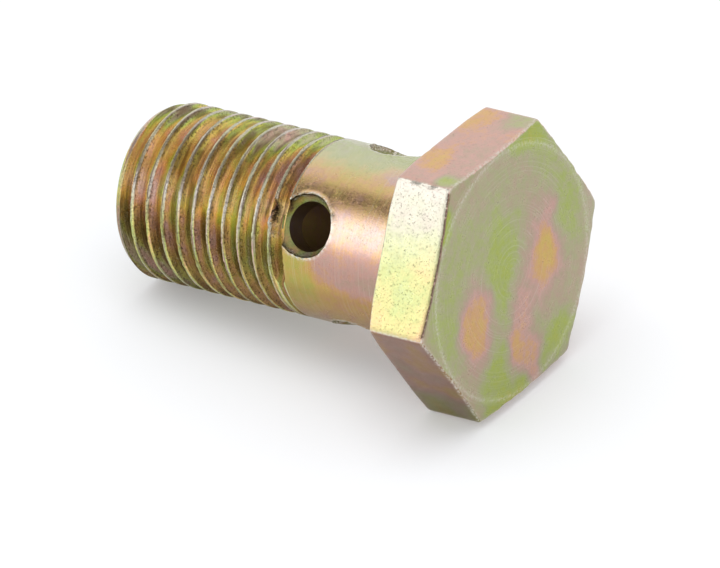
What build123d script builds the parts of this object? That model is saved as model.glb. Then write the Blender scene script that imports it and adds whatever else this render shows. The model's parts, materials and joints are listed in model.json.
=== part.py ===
from build123d import *
import os
from math import atan2, cos, radians, sin, tan

# Banjo bolt with a British Standard Pipe parallel thread, G 1/4, and a 19 mm hexagon head.
# It is turned from one bar, so it is one solid. Fluid comes in through two pairs of cross holes,
# staggered along the shank, and leaves through the blind bore that opens at the tip.
# Millimetres. The origin is the centre of the bearing face under the head. The bolt lies as it
# comes to rest on a level surface, on the edge of its lowest flat and on the thread by the tip,
# so its axis points along +X and rises towards the head.

# Driving dimensions: the head
across_flats = 19.0
head_height = 4.9
front_face_diameter = 18.8
front_chamfer_angle = 9.5
bearing_face_diameter = 20.0
bearing_chamfer_angle = 12.0

# Driving dimensions: the shank and its tip
shank_diameter = 12.95
under_head_length = 25.6
tip_chamfer_length = 1.05
tip_chamfer_depth = 0.6

# Driving dimensions: the drillings
bore_diameter = 8.0
bore_point_angle = 118.0
bore_mouth_chamfer = 0.4
bore_past_holes = 0.8
cross_hole_diameter = 3.6
cross_mouth_diameter = 4.6
cross_mouth_angle = 118.0
cross_mouth_depth = 0.5
cross_holes = {"near_thread": (8.8, 57.1), "near_head": (6.3, -32.9)}

# The axis and the direction through the middle of the upper flat, in the attitude of rest
rest_tilt = atan2(across_flats / 2 - shank_diameter / 2, under_head_length - tip_chamfer_length)
along = Vector(cos(rest_tilt), 0, sin(rest_tilt))
upward = Vector(-sin(rest_tilt), 0, cos(rest_tilt))
bolt_axis = Axis((0, 0, 0), along)
bearing = Plane(origin=(0, 0, 0), x_dir=upward, z_dir=along)
section = Plane(origin=(0, 0, 0), x_dir=upward, z_dir=(0, 1, 0))

# Sizes that follow from the driving ones
shank_radius = shank_diameter / 2
corner_radius = across_flats / 2 / cos(radians(30))
front_drop = (corner_radius - front_face_diameter / 2) * tan(radians(front_chamfer_angle))
bearing_rise = (corner_radius - bearing_face_diameter / 2) * tan(radians(bearing_chamfer_angle))
cross_radius = cross_hole_diameter / 2
bore_radius = bore_diameter / 2
nearest_hole = min(distance for distance, angle in cross_holes.values())
bore_end = nearest_hole - cross_radius - bore_past_holes
bore_point = bore_radius / tan(radians(bore_point_angle / 2))


def turned(height, angle):
    """Plane across the axis at a height above the bearing face, turned about the axis."""
    return Plane(bearing.offset(height).location * Rotation(0, 0, angle))


def cross_mouth(distance, angle):
    """Plane of one cross hole's mouth, facing outwards, on the shoulder of its countersink."""
    station = turned(-distance, angle)
    seat_radius = shank_radius - cross_mouth_depth
    return Plane(
        origin=station.origin + station.x_dir * seat_radius,
        x_dir=station.z_dir,
        z_dir=station.x_dir,
    )


with BuildPart() as banjo_bolt:
    # Hexagon bar, with both ends of the head turned to cones
    with BuildSketch(bearing):
        RegularPolygon(radius=across_flats / 2, side_count=6, major_radius=False, rotation=30)
    extrude(amount=head_height)
    with BuildSketch(section):
        Polygon(
            (0, 0),
            (bearing_face_diameter / 2, 0),
            (corner_radius, bearing_rise),
            (corner_radius, head_height - front_drop),
            (front_face_diameter / 2, head_height),
            (0, head_height),
            align=None,
        )
    revolve(axis=bolt_axis, mode=Mode.INTERSECT)

    # Shank, as large as the thread's crests, with its tip chamfer
    with BuildSketch(bearing):
        Circle(shank_radius)
    extrude(amount=-under_head_length)
    tip_rim = banjo_bolt.edges().filter_by(GeomType.CIRCLE).group_by(bolt_axis)[0]
    chamfer(tip_rim, length=tip_chamfer_length, length2=tip_chamfer_depth)

    # Blind bore from the tip, past the cross holes
    with BuildSketch(section):
        Polygon(
            (0, -under_head_length),
            (bore_radius + bore_mouth_chamfer, -under_head_length),
            (bore_radius, -under_head_length + bore_mouth_chamfer),
            (bore_radius, -bore_end),
            (0, bore_point - bore_end),
            align=None,
        )
    revolve(axis=bolt_axis, mode=Mode.SUBTRACT)

    # Cross holes, each drilled right through both walls and countersunk at both mouths
    for distance, angle in cross_holes.values():
        for side in (0, 180):
            with Locations(cross_mouth(distance, angle + side)):
                CounterSinkHole(
                    radius=cross_radius,
                    counter_sink_radius=cross_mouth_diameter / 2,
                    counter_sink_angle=cross_mouth_angle,
                    depth=shank_radius - cross_mouth_depth,
                )

os.makedirs("parts", exist_ok=True)
banjo_bolt.part.label = "banjo_bolt"
export_step(banjo_bolt.part, "parts/banjo_bolt.step")
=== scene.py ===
"""Banjo bolt, 19 mm across flats, G 1/4 shank, zinc plated with an iridescent yellow chromate.

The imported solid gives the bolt's axis, bore and cross holes. This script dresses it with what the
solid leaves out: the rolled thread, burrs, a gouge, dents, worn edges and the rainbow plating.

Everything is built in the bolt's own millimetres and then moved into the row frame:
  u   through the middle of the flat that faces up
  v   towards the camera's side
  s   along the bolt, 0 at the bearing face, positive towards the head's front face
An angle round the bolt runs from u towards v, in degrees. A station is a value of s.
"""

import json
import math

import bmesh
import bpy
import numpy as np
from mathutils import Matrix, Vector


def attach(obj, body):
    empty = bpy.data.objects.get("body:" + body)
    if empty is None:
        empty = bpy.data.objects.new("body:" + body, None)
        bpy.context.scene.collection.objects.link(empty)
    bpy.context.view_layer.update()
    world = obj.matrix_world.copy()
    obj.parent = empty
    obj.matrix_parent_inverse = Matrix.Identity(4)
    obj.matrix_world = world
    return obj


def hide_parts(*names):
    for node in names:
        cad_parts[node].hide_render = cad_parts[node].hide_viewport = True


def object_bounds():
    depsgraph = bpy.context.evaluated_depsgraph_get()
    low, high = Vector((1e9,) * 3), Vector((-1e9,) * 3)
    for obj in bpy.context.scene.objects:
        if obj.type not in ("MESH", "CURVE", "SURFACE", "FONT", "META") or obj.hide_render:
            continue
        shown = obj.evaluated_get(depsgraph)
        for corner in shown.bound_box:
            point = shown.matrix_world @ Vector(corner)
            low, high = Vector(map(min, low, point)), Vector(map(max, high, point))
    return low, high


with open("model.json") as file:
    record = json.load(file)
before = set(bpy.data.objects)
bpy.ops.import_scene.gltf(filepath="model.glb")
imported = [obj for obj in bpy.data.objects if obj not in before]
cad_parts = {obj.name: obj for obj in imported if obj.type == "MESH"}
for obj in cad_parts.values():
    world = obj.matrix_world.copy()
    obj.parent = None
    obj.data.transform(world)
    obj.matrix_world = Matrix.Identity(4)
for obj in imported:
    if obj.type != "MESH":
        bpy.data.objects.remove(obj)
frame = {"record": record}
size_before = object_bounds()

MM = 0.001
MOUNT = {mount["name"]: mount for mount in frame["record"]["mounts"]}

# ---- Bolt, in mm ----
ACROSS_FLATS = 19.0
CORNER_WORN = 0.07
CORNER_WIDTH = 0.09
HEAD_HEIGHT = 4.9
FRONT_CIRCLE = 9.4
FRONT_CHAMFER = math.tan(math.radians(9.5))
BEARING_CIRCLE = 10.0
BEARING_CHAMFER = math.tan(math.radians(12.0))
EDGE_ROUND = 0.11
SHANK_RADIUS = MOUNT["shank"]["dims"]["r_mm"]
SHANK_LENGTH = 25.6
TIP_CHAMFER_LENGTH = 1.05
TIP_CHAMFER_DEPTH = 0.6
BORE_RADIUS = MOUNT["port_bore"]["dims"]["r_mm"]
BORE_MOUTH = 0.4
BORE_END = -SHANK_LENGTH + BORE_MOUTH + MOUNT["port_bore"]["dims"]["length_mm"]
BORE_POINT = math.tan(math.radians(90 - 118 / 2))

# Spacing of the blank's rings along the shank, and radius of the first and last ring.
RING_SPACING = 0.25
POLE_RING = 0.3

# A cross hole's straight wall and the countersink at its end: (radius, distance from the bolt's axis).
HOLE_RADIUS = MOUNT["cross_hole_near_thread"]["dims"]["r_mm"]
MOUTH_RADIUS = HOLE_RADIUS + 0.52
HOLE_WALL = ((HOLE_RADIUS, 0.6), (HOLE_RADIUS, 2.6), (HOLE_RADIUS, 4.4), (HOLE_RADIUS, 5.58))
HOLE_MOUTH = ((1.9, 5.66), (2.06, 5.76), (2.18, 5.88), (2.25, 6.0), (2.3, 6.2), (2.33, 7.6))

# Middles of the three flats in view, as angles round the bolt.
UP_MIDDLE = 0
CAMERA_MIDDLE = 60
DOWN_MIDDLE = 120

# ---- Thread, G 1/4: 19 turns to the inch ----
PITCH = 25.4 / 19
THREAD_DEPTH = 0.84
ROOT_HALF_WIDTH = 0.11
FLANK_SLOPE = 0.5
CREST_ROUND = 0.035
STEPS_PER_TURN = 144
CUTTER_CLEARANCE = 0.45
GROOVE_WAVER = 0.012
PLAIN_LENGTH_ENDS = -10.35

# A place (station, angle) on the last groove, and how that groove runs out: (angle, share of depth).
LAST_GROOVE = (-10.95, 68.2)
RUN_OUT = ((95.0, 1.0), (101.0, 0.27), (170.0, 0.16), (250.0, 0.0))


def normal(axis):
    """The axis as a unit vector."""
    return np.array(axis, float) / np.linalg.norm(axis)


ALONG = -normal(MOUNT["shank"]["axis"])
TOWARDS_CAMERA = np.array([0.0, -1.0, 0.0])
UP_FLAT = np.cross(TOWARDS_CAMERA, ALONG)
BOLT_TO_ROW = Matrix(np.stack([UP_FLAT, TOWARDS_CAMERA, ALONG], axis=1).tolist()).to_4x4()


def cross_hole(name):
    """(station, angle) of a cross hole, read from its mount."""
    mount = MOUNT[name]
    axis = normal(mount["axis"])
    station = float(np.dot(mount["pos_m"], ALONG)) / MM
    angle = math.degrees(math.atan2(np.dot(axis, TOWARDS_CAMERA), np.dot(axis, UP_FLAT)))
    return station, angle


FACING_HOLE = cross_hole("cross_hole_near_thread")
HEAD_HOLE = cross_hole("cross_hole_near_head")

# ---- Places on the bolt ----
# Stands in for a length of 0 where something is divided by it.
TINY = 1e-6


def around(angle):
    """Unit (u, v) direction at an angle round the bolt."""
    return np.array([math.cos(math.radians(angle)), math.sin(math.radians(angle))])


def angle_of(points):
    """The angle round the bolt of each point, from -180 to 180."""
    return np.degrees(np.arctan2(points[:, 1], points[:, 0]))


def radius_of(points):
    """The distance of each point from the bolt's axis."""
    return np.hypot(points[:, 0], points[:, 1])


def on_shank(station, angle, radius=SHANK_RADIUS):
    """(u, v, s) of a place on the shank."""
    return np.append(around(angle) * radius, station)


def on_flat(middle_angle, across, station):
    """(u, v, s) of a place on a flat: across is from its middle, towards the next flat."""
    return np.append(around(middle_angle) * ACROSS_FLATS / 2 + around(middle_angle + 90) * across, station)


def off_flat_middle(angles):
    """The angle from the middle of the nearest flat, from -30 to 30."""
    return (angles + 30) % 60 - 30


def in_front_of(angles, middle_angle):
    """Which angles lie in front of the flat with this middle angle."""
    return np.abs(angles - middle_angle) < 30


def off_hole_axis(points, hole):
    """The vector to each point from the nearest place on a cross hole's axis."""
    station, angle = hole
    out = np.append(around(angle), 0.0)
    offset = points - np.array([0.0, 0.0, station])
    return offset - (offset @ out)[:, None] * out


def groove_offset(points):
    """How far each point lies from the middle of the nearest groove, along the bolt."""
    station, angle = LAST_GROOVE
    offset = points[:, 2] - station - PITCH * (angle_of(points) - angle) / 360
    return (offset + PITCH / 2) % PITCH - PITCH / 2


# ---- Smooth shapes and noise; they all work on arrays ----


def ripple(points, wavelength, seed):
    """Smooth noise, mostly between -1 and 1, at each row of points, from a few seeded plane waves."""
    random = np.random.default_rng(seed)
    points = np.asarray(points, float)
    total = np.zeros(len(points))
    waves = 14
    for _ in range(waves):
        direction = random.normal(size=points.shape[1])
        direction *= 2 * math.pi / (np.linalg.norm(direction) * wavelength * random.uniform(0.6, 1.7))
        total += np.sin(points @ direction + random.uniform(0, 2 * math.pi))
    return total / math.sqrt(waves)


def smooth_step(value, start, end):
    """0 before start, 1 after end, with an easy curve between."""
    share = np.clip((np.asarray(value, float) - start) / (end - start), 0, 1)
    return share * share * (3 - 2 * share)


def bell(offset, width):
    """1 where the offset is 0, falling to almost nothing two widths away."""
    return np.exp(-((offset / width) ** 2))


def dome(points, centre, radius):
    """1 at centre, falling smoothly to 0 at radius; radius may be one number or one for each axis."""
    offset = (np.asarray(points, float) - centre) / radius
    return 1 - smooth_step(np.linalg.norm(offset, axis=1), 0, 1)


def read_off(value, table):
    """The result at a value, straight between the (value, result) pairs of a table."""
    values, results = zip(*table)
    return np.interp(value, values, results)


# ---- Solids ----


def add_object(name, data):
    """A new object with this data, linked to the scene."""
    made = bpy.data.objects.new(name, data)
    bpy.context.scene.collection.objects.link(made)
    return made


def make_object(name, points, faces):
    """A mesh object from bolt coordinates in mm, its normals pointing outwards."""
    mesh = bpy.data.meshes.new(name)
    mesh.from_pydata([tuple(point) for point in points], [], faces)
    shape = bmesh.new()
    shape.from_mesh(mesh)
    bmesh.ops.recalc_face_normals(shape, faces=shape.faces)
    shape.to_mesh(mesh)
    shape.free()
    return add_object(name, mesh)


def lathe(name, rows):
    """A closed solid from rings of (u, v, s) points, one array each, with a pole at both ends."""
    columns = len(rows[0])
    points = [rows[0].mean(axis=0)]
    for row in rows:
        points.extend(row)
    points.append(rows[-1].mean(axis=0))
    last = len(points) - 1
    faces = []
    for column in range(columns):
        beside = (column + 1) % columns
        faces.append((0, 1 + beside, 1 + column))
        for row in range(len(rows) - 1):
            here = 1 + row * columns
            below = here + columns
            faces.append((here + column, here + beside, below + beside, below + column))
        end = 1 + (len(rows) - 1) * columns
        faces.append((last, end + column, end + beside))
    return make_object(name, points, faces)


def ring(angles, radius, station):
    """Points (u, v, s) at these angles; radius and station are numbers or one for each angle."""
    radius = np.broadcast_to(np.asarray(radius, float), angles.shape)
    station = np.broadcast_to(np.asarray(station, float), angles.shape)
    turned = np.radians(angles)
    return np.stack([radius * np.cos(turned), radius * np.sin(turned), station], axis=1)


def hexagon_radius(angles):
    """Distance from the axis to the hexagon's side, its corners softened a little."""
    sharp = ACROSS_FLATS / 2 / np.cos(np.radians(off_flat_middle(angles)))
    corner = ACROSS_FLATS / 2 / math.cos(math.radians(30))
    return sharp - CORNER_WORN * bell(sharp - corner, CORNER_WIDTH)


def front_height(radius):
    """Station of the head's front at a distance from the axis, chamfered at its corners."""
    return HEAD_HEIGHT - np.maximum(radius - FRONT_CIRCLE, 0) * FRONT_CHAMFER


def back_height(radius):
    """Station of the head's back at a distance from the axis, chamfered at its corners."""
    return np.maximum(radius - BEARING_CIRCLE, 0) * BEARING_CHAMFER


def rounding(turn):
    """How far a rounded edge lies inside the side and inside the end, this many degrees round it."""
    turned = math.radians(turn)
    return EDGE_ROUND * (1 - math.sin(turned)), EDGE_ROUND * (1 - math.cos(turned))


def head_rows(angles):
    """The rings of the head, from the middle of its front face to the shank."""
    side = hexagon_radius(angles)
    edge = side - EDGE_ROUND
    bearing = np.minimum(edge, BEARING_CIRCLE)
    top = front_height(side)
    bottom = back_height(side)
    rows = []
    for radius in np.linspace(POLE_RING, FRONT_CIRCLE - 0.04, 42):
        rows.append(ring(angles, radius, HEAD_HEIGHT))
    for step in np.linspace(0, 1, 7):
        radius = FRONT_CIRCLE + (edge - FRONT_CIRCLE) * step
        rows.append(ring(angles, radius, front_height(radius)))
    for turn in (30, 60):
        inwards, down = rounding(turn)
        rows.append(ring(angles, side - inwards, top - down))
    for step in np.linspace(0, 1, 22):
        height = (top - EDGE_ROUND) * (1 - step) + (bottom + EDGE_ROUND) * step
        rows.append(ring(angles, side, height))
    for turn in (60, 30):
        inwards, up = rounding(turn)
        rows.append(ring(angles, side - inwards, bottom + up))
    for step in np.linspace(0, 1, 4):
        radius = edge + (bearing - edge) * step
        rows.append(ring(angles, radius, back_height(radius)))
    for step in np.linspace(0.15, 1, 6):
        rows.append(ring(angles, bearing + (SHANK_RADIUS - bearing) * step, 0.0))
    return rows


def shank_rows(angles):
    """The rings of the shank, from under the head to the bore's mouth in its tip."""
    rows = []
    for station in np.arange(0.2, SHANK_LENGTH - TIP_CHAMFER_LENGTH, RING_SPACING):
        rows.append(ring(angles, SHANK_RADIUS, -station))
    for step in np.linspace(0, 1, 6):
        station = -SHANK_LENGTH + TIP_CHAMFER_LENGTH * (1 - step)
        rows.append(ring(angles, SHANK_RADIUS - TIP_CHAMFER_DEPTH * step, station))
    for radius in (5.4, 4.9, BORE_RADIUS + BORE_MOUTH):
        rows.append(ring(angles, radius, -SHANK_LENGTH))
    return rows


def bore_rows(angles):
    """The rings of the bore, from inside its mouth to the point that the drill left."""
    rows = []
    for station in np.linspace(-SHANK_LENGTH + BORE_MOUTH, BORE_END, 60):
        rows.append(ring(angles, BORE_RADIUS, station))
    for radius in (3.0, 2.0, 1.0, POLE_RING):
        rows.append(ring(angles, radius, BORE_END + (BORE_RADIUS - radius) * BORE_POINT))
    return rows


def bolt_blank():
    """The bolt without its thread and cross holes, one closed lathe with more columns near its corners."""
    share = np.linspace(-1, 1, 61)[:-1]
    clustered = 30 * np.sign(share) * np.abs(share) ** 0.8
    angles = np.concatenate([60 * side + clustered for side in range(6)])
    return lathe("banjo_bolt_body", head_rows(angles) + shank_rows(angles) + bore_rows(angles))


def groove_path():
    """The angles of the groove's steps, and its middle and depth at each, a little uneven."""
    station, angle = LAST_GROOVE
    fades_at = RUN_OUT[-1][0]
    start = angle - (SHANK_LENGTH + PITCH + station) / PITCH * 360
    turned = np.arange(start, fades_at + 12, 360 / STEPS_PER_TURN)
    middle = station + PITCH * (turned - angle) / 360 + GROOVE_WAVER * ripple(turned[:, None], 70, 11)
    depth = THREAD_DEPTH * read_off(turned, RUN_OUT) + GROOVE_WAVER * ripple(turned[:, None], 25, 12)
    clear_of_skin = -0.1
    return turned, middle, np.where(turned > fades_at, clear_of_skin, depth)


def groove_flank(turned, depth, side, seed):
    """One side of the cutter's section, from the outside in: (offset along the bolt, radius)."""
    half_mouth = ROOT_HALF_WIDTH + FLANK_SLOPE * (depth + CREST_ROUND)
    ragged = 0.026 * ripple(turned[:, None], 7, seed) + 0.020 * ripple(turned[:, None], 31, seed + 4)
    mouth = side * (half_mouth + 0.02 + ragged)
    lip = side * (half_mouth - 0.025 + 0.5 * ragged)
    return [
        (mouth, SHANK_RADIUS + CUTTER_CLEARANCE),
        (mouth, SHANK_RADIUS + 0.015),
        (lip, SHANK_RADIUS - np.minimum(CREST_ROUND, depth * 0.5)),
        (side * ROOT_HALF_WIDTH * 1.25, SHANK_RADIUS - depth + 0.07),
        (side * ROOT_HALF_WIDTH * 0.45, SHANK_RADIUS - depth),
    ]


def thread_cutter():
    """The thread groove as one closed helical bar, from beyond the tip to where the thread fades."""
    turned, middle, depth = groove_path()
    section = groove_flank(turned, depth, -1, 13) + groove_flank(turned, depth, 1, 14)[::-1]
    corners = len(section)
    rings = [ring(turned, radius, middle + offset) for offset, radius in section]
    points = np.stack(rings, axis=1).reshape(-1, 3)
    end = len(points) - corners
    faces = []
    for here in range(0, end, corners):
        there = here + corners
        for corner in range(corners):
            beside = (corner + 1) % corners
            faces.append((here + corner, here + beside, there + beside, there + corner))
    faces.append(tuple(range(corners)))
    faces.append(tuple(reversed(range(end, end + corners))))
    return make_object("thread_cutter", points, faces)


def hole_cutter(name, hole, seed):
    """A cross hole through the whole shank, with a countersunk, slightly uneven mouth at both ends."""
    station, angle = hole
    outwards = np.append(around(angle), 0.0)
    sideways = np.append(around(angle + 90), 0.0)
    lengthways = np.array([0.0, 0.0, 1.0])
    turned = np.radians(np.arange(0, 360, 4.0))
    circle = np.stack([np.cos(turned), np.sin(turned)], axis=1)
    halves = []
    for side in (-1, 1):
        uneven = 0.02 * ripple(circle * 2, 1.3, seed + side)
        half = []
        for radius, height in HOLE_WALL + HOLE_MOUTH:
            across = radius + uneven * (radius > HOLE_RADIUS)
            middle = station * lengthways + side * height * outwards
            half.append(middle + across[:, None] * (circle @ np.stack([sideways, lengthways])))
        halves.append(half)
    return lathe(name, halves[0][::-1] + halves[1])


def cut(body, cutter):
    """Takes the cutter out of the body, exactly, and deletes the cutter."""
    modifier = body.modifiers.new("cut", "BOOLEAN")
    modifier.operation = "DIFFERENCE"
    modifier.solver = "EXACT"
    modifier.object = cutter
    depsgraph = bpy.context.evaluated_depsgraph_get()
    result = bpy.data.meshes.new_from_object(body.evaluated_get(depsgraph))
    body.modifiers.remove(modifier)
    body.data = result
    bpy.data.objects.remove(cutter)


# ---- Wear ----
# Each dent: place, radius, depth.
DENTS = (
    (on_flat(CAMERA_MIDDLE, -5.44, 3.1), 0.38, 0.16),
    (on_flat(CAMERA_MIDDLE, -5.50, 1.8), 0.30, 0.12),
    (on_flat(UP_MIDDLE, 2.4, 2.5), 0.5, 0.05),
    (on_flat(UP_MIDDLE, 1.3, 0.3), 0.45, 0.12),
    (np.array([-9.25, -0.6, 4.85]), 0.45, 0.2),
    (np.array([-6.5, 5.9, 4.9]), 0.5, 0.06),
)

# Chips that join the last groove to the facing hole, and metal smeared up beside them, each as
# (station, angle, radius).
GOUGE = ((-12.0, 49, 0.70), (-11.5, 51, 0.80), (-11.0, 51, 0.85), (-10.45, 50, 0.95), (-11.3, 57, 0.55))
SMEARS = ((-11.75, 60, 0.42), (-11.35, 66, 0.38), (-11.1, 72, 0.35))

# How high the burr stands round each cross hole's mouth.
BURRS = ((FACING_HOLE, 0.11), (HEAD_HOLE, 0.06))

# How far a point may lie off the shank's radius and still be on its skin.
SKIN = 0.06


def nearness(points, places):
    """1 in the middle of any of these (station, angle, radius) places on the shank, 0 away from them."""
    share = np.zeros(len(points))
    for station, angle, size in places:
        share = np.maximum(share, dome(points, on_shank(station, angle), size))
    return share


def burr_height(points):
    """How far the burrs round the cross holes lift the shank's skin."""
    height = np.zeros(len(points))
    for hole, highest in BURRS:
        away = np.linalg.norm(off_hole_axis(points, hole), axis=1)
        height += highest * bell(away - MOUTH_RADIUS, 0.16)
    return height * (0.6 + 0.4 * ripple(points, 0.7, 21))


def gouge_depth(points):
    """How deep the gouge is beside the facing hole; below 0 where metal is smeared up."""
    depth = 0.75 * nearness(points, GOUGE) * (0.8 + 0.35 * ripple(points, 0.8, 22))
    for station, angle, size in SMEARS:
        depth -= 0.30 * dome(points, on_shank(station, angle, SHANK_RADIUS - 0.2), size)
    return depth


def dent_moves(points):
    """How the dents move each point: straight in, and also backwards where they are in the front edge."""
    moves = np.zeros(points.shape)
    for place, size, deep in DENTS:
        backwards = 0.6 if place[2] > HEAD_HEIGHT - 0.2 else 0.0
        amount = deep * dome(points, place, size) * (0.8 + 0.4 * ripple(points, 0.3, 23))
        moves += amount[:, None] * normal(-place * np.array([1, 1, backwards]))
    return moves


def add_wear(points):
    """The points moved by burrs, the gouge beside the facing hole, dents and a worn front edge."""
    station = points[:, 2]
    radius = radius_of(points)
    outwards = points[:, :2] / np.maximum(radius, TINY)[:, None]
    on_skin = (np.abs(radius - SHANK_RADIUS) < SKIN) & (station < -0.5)
    near_skin = (radius > SHANK_RADIUS - 0.95) & (radius < SHANK_RADIUS + 0.3)
    side = hexagon_radius(angle_of(points))
    worn = bell(station - front_height(side), 0.2) * bell(radius - side, 0.2) * (station > 0.5)

    lift = burr_height(points) * on_skin - gouge_depth(points) * near_skin
    lift -= worn * (0.03 + 0.03 * ripple(points, 0.8, 24))
    moved = points + dent_moves(points)
    moved[:, :2] += outwards * lift[:, None]
    moved[:, 2] -= worn * (0.02 + 0.02 * ripple(points, 1.3, 25))
    return moved


# ---- Zones of the surface, each with its own finish ----
FRONT, SIDES, CAMERA_FLAT, SHANK, THREAD, CREST, INSIDE, MOUTH = range(8)
FULL_THREAD_STARTS = -12.2
GROOVE_HALF_WIDTH = 0.5


def zones_of(centres, normals):
    """The zone of each face, from its middle and its normal in bolt coordinates."""
    radius = radius_of(centres)
    station = centres[:, 2]
    outward = (normals[:, :2] * centres[:, :2]).sum(axis=1) / np.maximum(radius, TINY)

    zones = np.full(len(centres), SHANK)
    threaded = station < PLAIN_LENGTH_ENDS
    zones[threaded & (radius < SHANK_RADIUS - SKIN)] = THREAD
    zones[threaded & (radius >= SHANK_RADIUS - SKIN)] = CREST
    in_groove = (station < FULL_THREAD_STARTS) & (np.abs(groove_offset(centres)) < GROOVE_HALF_WIDTH)
    zones[in_groove & (outward > 0.3)] = THREAD
    zones[station < -SHANK_LENGTH + TIP_CHAMFER_LENGTH * 0.12] = CREST

    on_head = station > -0.02
    zones[on_head] = SIDES
    zones[on_head & (normals[:, 2] > 0.9)] = FRONT
    zones[on_head & in_front_of(angle_of(centres), CAMERA_MIDDLE) & (outward > 0.8)] = CAMERA_FLAT
    zones[~on_head & (radius < BORE_RADIUS + BORE_MOUTH)] = INSIDE
    for hole in (FACING_HOLE, HEAD_HOLE):
        across = off_hole_axis(centres, hole)
        away = np.linalg.norm(across, axis=1)
        facing = np.abs((normals * across).sum(axis=1)) / np.maximum(away, TINY)
        wall = away < HOLE_RADIUS + 0.03
        near = ~on_head & (away < MOUTH_RADIUS + 0.02) & (facing > 0.25)
        zones[near & wall] = INSIDE
        zones[near & ~wall] = MOUTH
    return zones


# ---- Plating ----
# The chromate film shows one interference colour after another as it gets thicker. A film value of
# 0 to 1 is one order of them.
FILM_COLOURS = (
    (0.00, (168, 179, 86)),
    (0.13, (192, 181, 92)),
    (0.26, (208, 175, 98)),
    (0.38, (209, 164, 114)),
    (0.50, (201, 159, 149)),
    (0.64, (184, 160, 140)),
    (0.80, (174, 172, 132)),
    (0.92, (167, 178, 103)),
    (1.00, (168, 179, 86)),
)
# Bare zinc, which the painted highlights also use.
BARE_ZINC_AND_HIGHLIGHT = (214, 208, 199)
WORN_ZINC = (216, 212, 198)
RUBBED_EDGE = (228, 225, 212)
# Painted shade colours: the underside's dark brown and the thread groove's dark stripes.
SHADED_FILM = (96, 68, 46)
SHADED_GROOVE = (92, 62, 32)
PIT_COLOUR = (74, 58, 42)

# Tints on the front face: (u, v) and size (u, v) in mm, and the film value in the middle.
FRONT_BASE = 0.67
FRONT_TINTS = (
    ((3.4, 5.4), (7.4, 5.4), 0.88),
    ((-0.5, 8.2), (6.6, 3.6), 0.95),
    ((8.2, 1.5), (3.0, 5.5), 0.74),
    ((2.6, 0.5), (7.2, 3.8), 1.04),
    ((5.4, -1.6), (2.6, 2.6), 0.74),
    ((-0.6, 1.9), (4.6, 3.6), 1.05),
    ((-6.8, 3.0), (5.0, 3.2), 1.06),
    ((1.8, -7.4), (6.4, 3.2), 0.98),
    ((6.2, -5.8), (4.0, 3.4), 0.92),
    ((-7.3, -3.9), (3.4, 5.2), 1.06),
    ((-9.2, 2.2), (2.0, 4.6), 1.14),
    ((9.1, -4.2), (2.4, 5.0), 1.12),
    ((7.6, 7.0), (2.0, 2.0), 1.15),
    ((-0.6, -3.7), (5.6, 3.6), 0.50),
    ((-0.3, -4.2), (4.2, 2.7), 0.26),
    ((-1.6, 4.4), (5.2, 3.3), 0.50),
    ((-1.9, 4.9), (4.2, 2.6), 0.34),
    ((-3.4, -0.6), (4.2, 2.2), 0.50),
    ((-7.4, -0.9), (3.8, 2.2), 0.44),
    ((-5.7, 0.4), (2.6, 1.8), 0.36),
)

# Tints on the flat that faces up: place, size in mm, film value.
UP_FLAT_TINTS = (
    (on_flat(UP_MIDDLE, 2.2, 1.2), 2.6, 0.30),
    (on_flat(UP_MIDDLE, -3.5, 1.0), 2.6, 0.34),
    (on_flat(UP_MIDDLE, 0.5, 3.2), 2.0, 0.56),
    (on_flat(UP_MIDDLE, -4.8, 3.6), 2.4, 0.80),
    (on_flat(UP_MIDDLE, 4.6, 4.2), 1.6, 0.92),
)

# Down the flat that faces the camera: (mm from its middle, film value) and (mm, share of bare zinc, a
# painted highlight).
CAMERA_FLAT_FILM = ((-6, 0.70), (-3.5, 0.76), (-1, 0.98), (1.5, 1.02), (4, 1.06), (5.5, 1.20))
CAMERA_FLAT_PAINTED_HIGHLIGHT = ((-5.5, 0.88), (-2, 0.62), (1, 0.34), (5.5, 0.30))

# Round the shank: (angle, film value).
SHANK_FILM = (
    (-180, 0.40), (-90, 0.62), (-20, 0.80), (-6, 0.88), (4, 1.02), (12, 1.15), (20, 1.33), (30, 1.34),
    (38, 1.36), (48, 1.48), (60, 1.48), (78, 1.56), (90, 1.62), (100, 1.42), (112, 1.34), (180, 1.40),
)

# Tints on the shank: (station, mm round it from u) and size in mm, and the film value in the middle.
DEGREES_PER_MM = 9
SHANK_TINTS = (
    ((-9.6, -0.8), (1.4, 1.2), 0.80),
    ((-3.0, 1.2), (3.2, 1.6), 1.50),
    ((-3.6, 10.4), (2.6, 1.6), 1.60),
    ((-9.6, 8.9), (3.6, 2.8), 1.15),
    ((-8.6, 11.0), (3.8, 2.8), 1.12),
    ((-5.6, 11.8), (2.8, 1.6), 1.32),
)


def linear(colour):
    """Linear RGBA from 0-255 sRGB."""
    channels = []
    for value in colour:
        share = value / 255
        channels.append(share / 12.92 if share <= 0.04045 else ((share + 0.055) / 1.055) ** 2.4)
    return (*channels, 1.0)


def blended(film, points, tints):
    """The film drawn towards each tint's value near its place."""
    for centre, size, value in tints:
        film = film + (value - film) * smooth_step(dome(points, centre, size), -0.1, 1.0)
    return film


def down_camera_flat(points):
    """How far each point lies below the middle line of the flat that faces the camera."""
    return points @ np.append(around(CAMERA_MIDDLE + 90), 0.0)


def front_film(points, warped):
    """Film value on the head's front face."""
    film = FRONT_BASE + 0.05 * ripple(points[:, :2], 3.2, 34)
    return blended(film, warped[:, :2], FRONT_TINTS)


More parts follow.
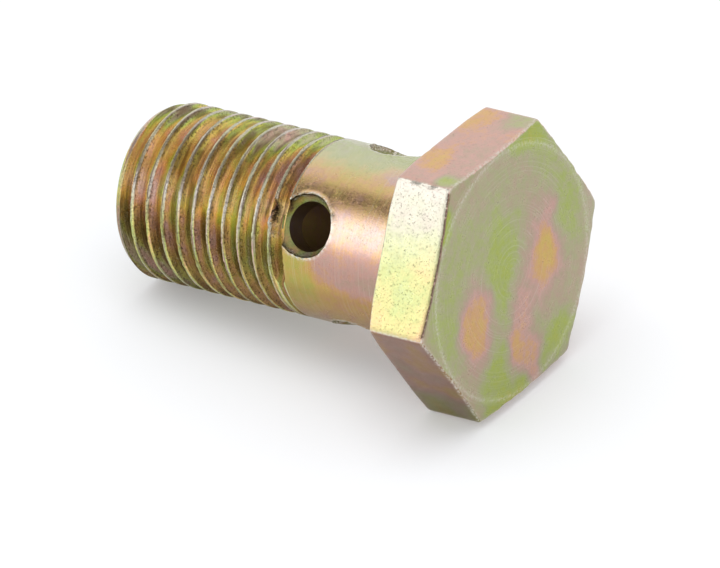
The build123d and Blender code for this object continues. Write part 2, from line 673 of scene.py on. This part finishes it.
def sides_film(points, warped):
    """Film value on the head's other sides: tinted on the one that faces up, pinker on the one below."""
    angle = angle_of(points)
    up_flat = blended(0.52 + 0.05 * ripple(points, 3.0, 38), warped, UP_FLAT_TINTS)
    down_flat = 0.46 + 0.12 * ripple(points, 3.5, 40) + 0.50 * smooth_step(points[:, 0], -5.5, -9.0)
    sides = 0.55 + 0.14 * ripple(points, 5.0, 36)
    sides = np.where(in_front_of(angle, UP_MIDDLE), up_flat, sides)
    return np.where(in_front_of(angle, DOWN_MIDDLE), down_flat, sides)


def camera_flat_film(points):
    """Film value on the flat that faces the camera, thicker towards its bottom and its front."""
    film = read_off(down_camera_flat(points), CAMERA_FLAT_FILM) + 0.07 * ripple(points, 2.6, 39)
    return film + 0.10 * smooth_step(points[:, 2], 3.4, 4.9)


def shank_film(points, warped):
    """Film value on the plain shank: bands along it, tints, and one even colour low under the head."""
    station = points[:, 2]
    angle = angle_of(points)
    film = read_off(angle, SHANK_FILM)
    film = film + 0.05 * ripple(points * (1, 1, 1.6), 4.0, 41) + 0.02 * ripple(points, 1.2, 42)
    mm_round = angle / DEGREES_PER_MM + warped[:, 0] - points[:, 0]
    film = blended(film, np.stack([warped[:, 2], mm_round], axis=1), SHANK_TINTS)
    low = smooth_step(angle, 88, 106) * (1 - smooth_step(angle, 120, 160))
    return film + (1.34 - film) * low * smooth_step(station, -8.0, -5.5)


def thread_film(points):
    """Film value in the thread: it changes across the groove, and slowly along it."""
    across = (groove_offset(points) + PITCH / 2) / (PITCH / 2)
    spiral = np.stack([points[:, 2] * 0.35, np.radians(angle_of(points)) * 2], axis=1)
    return 0.97 + 0.22 * across + 0.14 * ripple(spiral, 2.4, 43) + 0.04 * ripple(points, 1.2, 44)


def mouth_film(points):
    """Film value in the cross holes' mouths: one colour near the head, mixed colours near the thread."""
    return np.where(points[:, 2] > -6, 0.48, 1.02 + 0.22 * ripple(points, 1.0, 47))


def picked(zones, fields):
    """Each point's value from the field of its own zone."""
    return np.select([zones == zone for zone in fields], list(fields.values()))


def film_of(points, zones):
    """The film value at each point, from its place and the zone it belongs to."""
    warped = points + 0.35 * np.stack([ripple(points, 3.0, seed) for seed in (31, 32, 33)], axis=1)
    return picked(zones, {
        FRONT: front_film(points, warped),
        SIDES: sides_film(points, warped),
        CAMERA_FLAT: camera_flat_film(points),
        SHANK: shank_film(points, warped),
        THREAD: thread_film(points),
        CREST: 0.9 + 0.1 * ripple(points, 2.0, 45),
        INSIDE: 0.40 + 0.08 * ripple(points, 3.0, 46),
        MOUTH: mouth_film(points),
    })


def bare_zinc_and_painted_light_of(points, zones):
    """How far the colour is drawn to bare zinc, up to 1, or to dark brown, down to -1: a little real bare
    zinc, painted highlights round angles 54 and 2 and down the flat that faces the camera, painted shade on
    the underside and on the flat below, and a darker patch in the facing hole's mouth by the gouge.
    """
    angle = angle_of(points)
    none = np.zeros(len(points))
    # Painted shade on the underside, from about angle 58 round past 150 and darkest past 92; painted
    # highlights round angle 54 and on top, round angle 2.
    below = smooth_step(angle, 58, 84) * (1 - smooth_step(angle, 150, 200))
    painted_highlight = bell(angle - 54, 10)
    painted_top_highlight = bell(angle - 2, 16)
    lowest = below * smooth_step(angle, 92, 104)
    return picked(zones, {
        FRONT: none,
        # The flat below gets painted shade.
        SIDES: 0.12 - 0.84 * in_front_of(angle, DOWN_MIDDLE),
        # Painted highlight, strongest towards the top of the flat that faces the camera.
        CAMERA_FLAT: read_off(down_camera_flat(points), CAMERA_FLAT_PAINTED_HIGHLIGHT),
        SHANK: 0.10 + 0.42 * painted_highlight + 0.40 * painted_top_highlight - 0.38 * below - 0.16 * lowest,
        THREAD: 0.20 * painted_highlight - 0.62 * below,
        CREST: 0.70 + 0.30 * painted_highlight - 0.55 * below,
        INSIDE: none,
        # Darker round the gouge beside the facing hole.
        MOUTH: 0.1 - 1.4 * dome(points, on_shank(-11.3, 44), 2.0),
    })


def hole_edges(points):
    """1 on the outer edges of the cross holes' mouths, 0 elsewhere."""
    found = np.zeros(len(points))
    for hole in (FACING_HOLE, HEAD_HOLE):
        away = np.linalg.norm(off_hole_axis(points, hole), axis=1)
        found = np.maximum(found, bell(away - MOUTH_RADIUS, 0.13))
    return found * (radius_of(points) > 6.2) * (points[:, 2] < 0)


def edge_wear_of(points):
    """1 where metal is rubbed bright, on rubbed edges, and on smears, which are also a painted highlight; -1
    where it is chipped dark, on the front edge of the camera's flat and in the gouge; 0 elsewhere."""
    station = points[:, 2]
    radius = radius_of(points)
    angle = angle_of(points)
    side = hexagon_radius(angle)
    to_side = radius - side
    to_back = np.hypot(to_side, station - back_height(side))
    to_corner = np.radians(30 - np.abs(off_flat_middle(angle))) * radius + np.abs(to_side)
    on_head = station > 0.001

    front = bell(np.hypot(to_side, station - front_height(side)), 0.13) * on_head
    other = bell(np.minimum(to_back, to_corner), 0.09) * on_head
    rim = bell(radius - FRONT_CIRCLE + 0.15, 0.16) * (station > HEAD_HEIGHT - 0.05)
    tip = bell(station + SHANK_LENGTH - TIP_CHAMFER_LENGTH, 0.2) * ~on_head
    chipped = np.abs(angle - CAMERA_MIDDLE) < 29
    wear = np.maximum.reduce([other * 0.9, rim * 0.45, hole_edges(points), tip * 0.12])
    wear = np.maximum(wear, np.where(chipped, 0, front * 0.85))
    wear = np.where(chipped & (front > 0.2), -front, wear)
    # Smeared bare metal, painted bright as a highlight too.
    smeared = nearness(points, SMEARS)
    wear = np.where(smeared > 0.05, 0.9 * smeared, wear)
    return np.where(nearness(points, GOUGE) > 0.15, -1.0, wear)


# ---- Shader nodes ----


def node(tree, kind, **values):
    """A shader node with these properties."""
    made = tree.nodes.new(kind)
    for name, value in values.items():
        setattr(made, name, value)
    return made


def new_material(name):
    """A new material with the nodes it starts out with."""
    material = bpy.data.materials.new(name)
    material.use_nodes = True
    return material


def attribute(tree, name, output="Fac"):
    """A value that the mesh carries."""
    return node(tree, "ShaderNodeAttribute", attribute_name=name).outputs[output]


def arithmetic(tree, operation, first, second=0.0):
    """The output of a Math node on two sockets or numbers."""
    made = node(tree, "ShaderNodeMath", operation=operation)
    for socket, value in zip(made.inputs, (first, second)):
        if isinstance(value, (int, float)):
            socket.default_value = value
        else:
            tree.links.new(value, socket)
    return made.outputs[0]


def positive(tree, value):
    """The value where it is above 0, and 0 elsewhere."""
    return arithmetic(tree, "MAXIMUM", value, 0.0)


def negative(tree, value):
    """How far the value is below 0, and 0 elsewhere."""
    return positive(tree, arithmetic(tree, "MULTIPLY", value, -1.0))


def noise(tree, vector, scale, detail=3.0, rough=0.55):
    """The value of a noise texture, about 0.5 on average."""
    made = node(tree, "ShaderNodeTexNoise")
    made.inputs["Scale"].default_value = scale
    made.inputs["Detail"].default_value = detail
    made.inputs["Roughness"].default_value = rough
    tree.links.new(vector, made.inputs["Vector"])
    return made.outputs[0]


def spread(tree, value, low, high, to_low=0.0, to_high=1.0):
    """A smooth, clamped Map Range."""
    made = node(tree, "ShaderNodeMapRange", interpolation_type="SMOOTHSTEP")
    for name, number in (("From Min", low), ("From Max", high), ("To Min", to_low), ("To Max", to_high)):
        made.inputs[name].default_value = number
    tree.links.new(value, made.inputs["Value"])
    return made.outputs[0]


def varied(tree, value, place, scale, amount, rough=0.55):
    """The value with noise of up to this amount added or taken off."""
    change = spread(tree, noise(tree, place, scale, 3.0, rough), 0.3, 0.7, -amount, amount)
    return arithmetic(tree, "ADD", value, change)


def mixed(tree, share, first, second):
    """A colour mix; first and second are sockets or 0-255 sRGB colours."""
    made = node(tree, "ShaderNodeMix", data_type="RGBA")
    tree.links.new(share, made.inputs[0])
    for socket, value in ((made.inputs[6], first), (made.inputs[7], second)):
        if isinstance(value, bpy.types.NodeSocket):
            tree.links.new(value, socket)
        else:
            socket.default_value = linear(value)
    return made.outputs[2]


def scaled(tree, vector, factors):
    """A vector multiplied by three factors."""
    made = node(tree, "ShaderNodeVectorMath", operation="MULTIPLY")
    tree.links.new(vector, made.inputs[0])
    made.inputs[1].default_value = factors
    return made.outputs[0]


def parts_of(tree, vector):
    """The three parts of a vector."""
    made = node(tree, "ShaderNodeSeparateXYZ")
    tree.links.new(vector, made.inputs[0])
    return tuple(made.outputs)


def vector_of(tree, *parts):
    """A vector of up to three parts; the rest are 0."""
    made = node(tree, "ShaderNodeCombineXYZ")
    for part, socket in zip(parts, made.inputs):
        tree.links.new(part, socket)
    return made.outputs[0]


def seen_directly(tree):
    """1 for rays from the camera, off gloss or through glass, 0 for rays that gather light."""
    path = node(tree, "ShaderNodeLightPath")
    seen = arithmetic(tree, "MAXIMUM", path.outputs["Is Camera Ray"], path.outputs["Is Glossy Ray"])
    return arithmetic(tree, "MAXIMUM", seen, path.outputs["Is Transmission Ray"])


# ---- Finishes ----
# How deep the tool's lines look, in mm: rings on the front, bands round the shank, stripes in the thread.
LINE_DEPTH = {"rings": 0.014, "turned": 0.03, "rolled": 0.03}


def groove_phase(tree, place):
    """0 and 1 on the thread's crests, 0.5 in the middle of its groove."""
    station, angle = LAST_GROOVE
    u, v, s = parts_of(tree, place)
    turns = arithmetic(tree, "MULTIPLY", arithmetic(tree, "ARCTAN2", v, u), -1 / (2 * math.pi))
    climbed = arithmetic(tree, "MULTIPLY", s, 1 / PITCH)
    # Whole turns keep the sum above 0.
    whole_turns = 20
    start = whole_turns + 0.5 - station / PITCH + angle / 360
    return arithmetic(tree, "FRACT", arithmetic(tree, "ADD", arithmetic(tree, "ADD", turns, climbed), start))


def groove_noise(tree, place, phase, across, along, detail, rough):
    """Noise in stripes that run down the thread groove; across and along are its scales."""
    u, v, s = parts_of(tree, scaled(tree, place, (along, along, along)))
    phase = arithmetic(tree, "MULTIPLY", phase, across)
    return noise(tree, vector_of(tree, phase, arithmetic(tree, "ADD", u, s), v), 1.0, detail, rough)


def turned_lines(tree, place, marks):
    """Noise in fine rings on an end face, or in fine bands along the shank."""
    u, v, across = parts_of(tree, place)
    if marks == "rings":
        length = node(tree, "ShaderNodeVectorMath", operation="LENGTH")
        tree.links.new(vector_of(tree, u, v), length.inputs[0])
        across = length.outputs["Value"]
    return noise(tree, scaled(tree, vector_of(tree, across), (6.0, 1.0, 1.0)), 1.0, 6.0, 0.8)


def film_colour(tree, film, brightness):
    """The colour that the chromate film shows at a film value."""
    ramp = node(tree, "ShaderNodeValToRGB")
    tree.links.new(arithmetic(tree, "FRACT", film), ramp.inputs[0])
    stops = ramp.color_ramp.elements
    while len(stops) < len(FILM_COLOURS):
        stops.new(0.5)
    for stop, (position, colour) in zip(stops, FILM_COLOURS):
        stop.position = position
        stop.color = linear([channel * brightness for channel in colour])
    return ramp.outputs[0]


def worn_edges(tree, colour, fine):
    """The colour with bright rubbed edges and dark chips, where the mesh's edge_wear has them."""
    edge = attribute(tree, "edge_wear")
    rubbed = arithmetic(tree, "MULTIPLY", spread(tree, fine, 0.40, 0.60), positive(tree, edge))
    colour = mixed(tree, rubbed, colour, RUBBED_EDGE)
    chipped = arithmetic(tree, "MULTIPLY", spread(tree, fine, 0.34, 0.50), negative(tree, edge))
    return mixed(tree, chipped, colour, PIT_COLOUR)


def groove_with_painted_shade(tree, colour, place, phase, lines):
    """The colour with stripes of painted shade and dark lines down the thread groove."""
    shaded = groove_noise(tree, place, phase, 4.6, 0.24, 2.0, 0.5)
    colour = mixed(tree, spread(tree, shaded, 0.44, 0.66, 0.0, 0.74), colour, SHADED_GROOVE)
    return mixed(tree, spread(tree, lines, 0.50, 0.68, 0.0, 0.40), colour, PIT_COLOUR)


def streaked(tree, colour, place, lines):
    """The colour with bright lines where the plating is rubbed, stronger in some patches."""
    where = spread(tree, noise(tree, place, 0.5, 2.0), 0.40, 0.62, 0.14, 0.50)
    streaks = arithmetic(tree, "MULTIPLY", spread(tree, lines, 0.50, 0.66), where)
    return mixed(tree, streaks, colour, WORN_ZINC)


def add_relief(tree, shader, height):
    """Bumps of this height, in mm."""
    bump = node(tree, "ShaderNodeBump")
    bump.inputs["Distance"].default_value = MM
    tree.links.new(height, bump.inputs["Height"])
    tree.links.new(bump.outputs[0], shader.inputs["Normal"])


def plated(name, roughness, marks=None, brightness=1.0, grime=0.3, bare=0.2, grain=0.010):
    """Zinc with an iridescent chromate film; marks is None, "rings", "turned" or "rolled"."""
    material = new_material(name)
    tree = material.node_tree
    shader = tree.nodes["Principled BSDF"]
    shader.inputs["Metallic"].default_value = 1.0
    place = attribute(tree, "bolt_mm", "Vector")
    film = attribute(tree, "film")
    pale = attribute(tree, "pale")
    rolled = marks == "rolled"
    turned = marks in ("rings", "turned")
    fine = noise(tree, place, 5.5, 6.0, 0.75)
    coarse = noise(tree, place, 6.5, 6.0, 0.85)

    if turned:
        lines = turned_lines(tree, place, marks)
    if rolled:
        phase = groove_phase(tree, place)
        lines = groove_noise(tree, place, phase, 14.0, 0.2, 3.0, 0.6)
        stripes = groove_noise(tree, place, phase, 3.4, 0.17, 1.0, 0.4)
        film = arithmetic(tree, "ADD", film, spread(tree, stripes, 0.34, 0.66, -0.24, 0.24))
        beside = arithmetic(tree, "ABSOLUTE", arithmetic(tree, "ADD", phase, -0.5))
        coarse = arithmetic(tree, "ADD", coarse, spread(tree, beside, 0.20, 0.40, -0.02, 0.045))
    film = varied(tree, film, place, 1.6, 0.05)
    film = varied(tree, film, place, 9.0, 0.04, 0.7)
    pits = spread(tree, coarse, 0.56, 0.64, 0.0, grime)

    colour = film_colour(tree, film, brightness)
    # Painted highlights towards bare zinc and painted shade towards dark brown, as the mesh's pale values
    # say.
    colour = mixed(tree, positive(tree, pale), colour, BARE_ZINC_AND_HIGHLIGHT)
    colour = mixed(tree, negative(tree, pale), colour, SHADED_FILM)
    # Stripes of painted shade down the thread groove.
    if rolled:
        colour = groove_with_painted_shade(tree, colour, place, phase, lines)
    colour = mixed(tree, spread(tree, fine, 0.57, 0.68, 0.0, bare), colour, WORN_ZINC)
    colour = mixed(tree, pits, colour, PIT_COLOUR)
    if turned:
        colour = streaked(tree, colour, place, lines)
    tree.links.new(worn_edges(tree, colour, fine), shader.inputs["Base Color"])

    gloss = spread(tree, noise(tree, place, 1.1, 5.0, 0.6), 0.3, 0.7, roughness - 0.04, roughness + 0.05)
    tree.links.new(gloss, shader.inputs["Roughness"])

    height = arithmetic(tree, "MULTIPLY", noise(tree, place, 12.0, 4.0, 0.7), grain)
    height = arithmetic(tree, "SUBTRACT", height, arithmetic(tree, "MULTIPLY", pits, 0.02))
    if marks:
        height = arithmetic(tree, "ADD", height, arithmetic(tree, "MULTIPLY", lines, LINE_DEPTH[marks]))
    add_relief(tree, shader, height)
    return material


def finishes():
    """One material for each zone, in the zones' order."""
    return (
        plated("front_plating", 0.30, "rings", brightness=0.95, grime=0.30, bare=0.16),
        plated("side_plating", 0.34, brightness=1.07, grime=0.40, bare=0.20),
        plated("camera_flat_plating", 0.30, brightness=1.09, grime=0.50, bare=0.30, grain=0.014),
        plated("shank_plating", 0.23, "turned", brightness=1.04, grime=0.20, bare=0.10, grain=0.006),
        plated("thread_plating", 0.24, "rolled", brightness=1.10, grime=0.85, bare=0.25, grain=0.02),
        plated("crest_plating", 0.28, "rolled", brightness=1.2, grime=0.60, bare=0.7, grain=0.03),
        plated("hole_plating", 0.5, brightness=0.60, grime=0.5, bare=0.05),
        plated("mouth_plating", 0.20, brightness=0.76, grime=0.4, bare=0.3, grain=0.04),
    )


# ---- The dressed bolt ----


def read_vectors(items, name):
    """One (u, v, s) row for each vertex or face of a mesh."""
    flat = np.empty(len(items) * 3)
    items.foreach_get(name, flat)
    return flat.reshape(-1, 3)


def add_finishes(mesh, points):
    """Gives each face its zone's material, and the mesh the values that the materials read."""
    zones = zones_of(read_vectors(mesh.polygons, "center"), read_vectors(mesh.polygons, "normal"))
    mesh.materials.clear()
    for material in finishes():
        mesh.materials.append(material)
    mesh.polygons.foreach_set("material_index", zones.astype(np.int32))

    corner_zone = np.repeat(zones, [len(face.vertices) for face in mesh.polygons])
    corner_vertex = np.empty(len(mesh.loops), np.int32)
    mesh.loops.foreach_get("vertex_index", corner_vertex)
    for name, field in (("film", film_of), ("pale", bare_zinc_and_painted_light_of)):
        values = field(points[corner_vertex], corner_zone)
        mesh.attributes.new(name, "FLOAT", "CORNER").data.foreach_set("value", values.astype(np.float32))
    wear = mesh.attributes.new("edge_wear", "FLOAT", "POINT")
    wear.data.foreach_set("value", edge_wear_of(points).astype(np.float32))
    place = mesh.attributes.new("bolt_mm", "FLOAT_VECTOR", "POINT")
    place.data.foreach_set("vector", points.astype(np.float32).ravel())


def build_bolt():
    """The dressed bolt, as one closed mesh in the row frame, in metres."""
    body = bolt_blank()
    cut(body, thread_cutter())
    cut(body, hole_cutter("facing_hole_cutter", FACING_HOLE, 51))
    cut(body, hole_cutter("head_hole_cutter", HEAD_HOLE, 54))
    mesh = body.data
    mesh.name = "banjo_bolt_body"
    points = read_vectors(mesh.vertices, "co")
    mesh.vertices.foreach_set("co", add_wear(points).ravel())
    mesh.update()
    add_finishes(mesh, points)

    for face in mesh.polygons:
        face.use_smooth = True
    mesh.set_sharp_from_angle(angle=math.radians(32))
    mesh.transform(BOLT_TO_ROW @ Matrix.Scale(MM, 4))
    mesh.update()
    return body


bolt = build_bolt()
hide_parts("banjo_bolt")
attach(bolt, "root")

# ---- Stage; distances here are in metres ----
LOWEST = size_before[0][2]
FLOOR_SIZE = 12.0
FLOOR_COLOUR = (243, 245, 248)
FLOOR_WHITE = 0.22
WORLD_AS_LIGHT = 0.89


def floor_finish(name, colour, white):
    """A matt floor of one colour, with a share of plain white where it is seen and not where it lights."""
    material = new_material(name)
    tree = material.node_tree
    shader = tree.nodes["Principled BSDF"]
    shader.inputs["Base Color"].default_value = linear(colour)
    shader.inputs["Roughness"].default_value = 1.0
    shader.inputs["Specular IOR Level"].default_value = 0.0
    glow = node(tree, "ShaderNodeEmission")
    blend = node(tree, "ShaderNodeMixShader")
    tree.links.new(arithmetic(tree, "MULTIPLY", seen_directly(tree), white), blend.inputs[0])
    tree.links.new(shader.outputs[0], blend.inputs[1])
    tree.links.new(glow.outputs[0], blend.inputs[2])
    tree.links.new(blend.outputs[0], tree.nodes["Material Output"].inputs[0])
    return material


def sheet(name, centre, facing, width, height, material, width_along=(1, 0, 0)):
    """A flat rectangle that faces a direction and isn't part of the object."""
    signs = ((-1, -1), (1, -1), (1, 1), (-1, 1))
    corners = [(across * width / 2, up * height / 2, 0) for across, up in signs]
    mesh = bpy.data.meshes.new(name)
    mesh.from_pydata(corners, [], [(0, 1, 2, 3)])
    mesh.materials.append(material)
    made = add_object(name, mesh)
    out = Vector(facing).normalized()
    across = out.cross(Vector(width_along)).normalized()
    turn = Matrix((across.cross(out), across, out)).transposed().to_4x4()
    made.matrix_world = Matrix.Translation(centre) @ turn
    return made


def glowing(name, strength):
    """A material that gives off white light of this strength and nothing else."""
    material = new_material(name)
    tree = material.node_tree
    tree.nodes.clear()
    light = node(tree, "ShaderNodeEmission")
    light.inputs["Strength"].default_value = strength
    tree.links.new(light.outputs[0], node(tree, "ShaderNodeOutputMaterial").inputs[0])
    return material


def card(name, direction, distance, width, height, strength):
    """A card that only shows in the bolt's reflections."""
    direction = Vector(direction).normalized()
    made = sheet(name, direction * distance, -direction, width, height, glowing(name, strength), ALONG)
    made.visible_camera = False
    made.visible_diffuse = False
    made.visible_shadow = False
    made.visible_transmission = False


def lamp(name, direction, distance, size, power):
    """A soft square lamp that looks at the bolt and doesn't show in reflections."""
    light = bpy.data.lights.new(name, "AREA")
    light.shape = "SQUARE"
    light.size = size
    light.energy = power
    made = add_object(name, light)
    direction = Vector(direction).normalized()
    made.location = direction * distance
    made.rotation_mode = "QUATERNION"
    made.rotation_quaternion = direction.to_track_quat("Z", "Y")
    made.visible_glossy = False


def white_world(ambient):
    """White for the camera and in reflections, and weaker as light on the scene."""
    world = bpy.data.worlds.new("studio")
    bpy.context.scene.world = world
    world.use_nodes = True
    tree = world.node_tree
    background = tree.nodes["Background"]
    background.inputs["Color"].default_value = (1, 1, 1, 1)
    extra = arithmetic(tree, "MULTIPLY", seen_directly(tree), 1 - ambient)
    tree.links.new(arithmetic(tree, "ADD", extra, ambient), background.inputs["Strength"])


floor = floor_finish("pale_floor", FLOOR_COLOUR, FLOOR_WHITE)
sheet("floor", (0, 0, LOWEST), (0, 0, 1), FLOOR_SIZE, FLOOR_SIZE, floor)
card("bright_card", direction=(-0.60, -0.69, 0.40), distance=0.5, width=0.5, height=0.34, strength=1.95)
card("dark_card", direction=(-0.62, -0.20, 0.757), distance=0.45, width=0.42, height=0.165, strength=0.10)
lamp("key", direction=(-0.12, -0.15, 0.95), distance=0.7, size=0.6, power=2.0)
white_world(WORLD_AS_LIGHT)

# ---- Camera ----
AZIMUTH = 35.562
ELEVATION = 33.480
ROLL = -1.266
DISTANCE = 0.84563
LENS = 600
SENSOR_WIDTH = 36
LOOKS_AT = Vector((-4.950, -4.682, -1.406)) * MM


def add_camera():
    """The photograph's camera: a long lens above and to the right of the head."""
    azimuth, elevation, roll = (math.radians(angle) for angle in (AZIMUTH, ELEVATION, ROLL))
    level_reach = math.cos(elevation)
    back = Vector((math.sin(azimuth) * level_reach, -math.cos(azimuth) * level_reach, math.sin(elevation)))
    level = Vector((math.cos(azimuth), math.sin(azimuth), 0))
    upright = back.cross(level)
    right = level * math.cos(roll) + upright * math.sin(roll)
    up = back.cross(right)
    data = bpy.data.cameras.new("camera")
    data.lens = LENS
    data.sensor_width = SENSOR_WIDTH
    data.clip_start = 0.01
    data.clip_end = 100
    camera = add_object("camera", data)
    turn = Matrix((right, up, back)).transposed().to_4x4()
    camera.matrix_world = Matrix.Translation(LOOKS_AT + back * DISTANCE) @ turn
    bpy.context.scene.camera = camera


add_camera()
bpy.context.scene.view_settings.view_transform = "Standard"
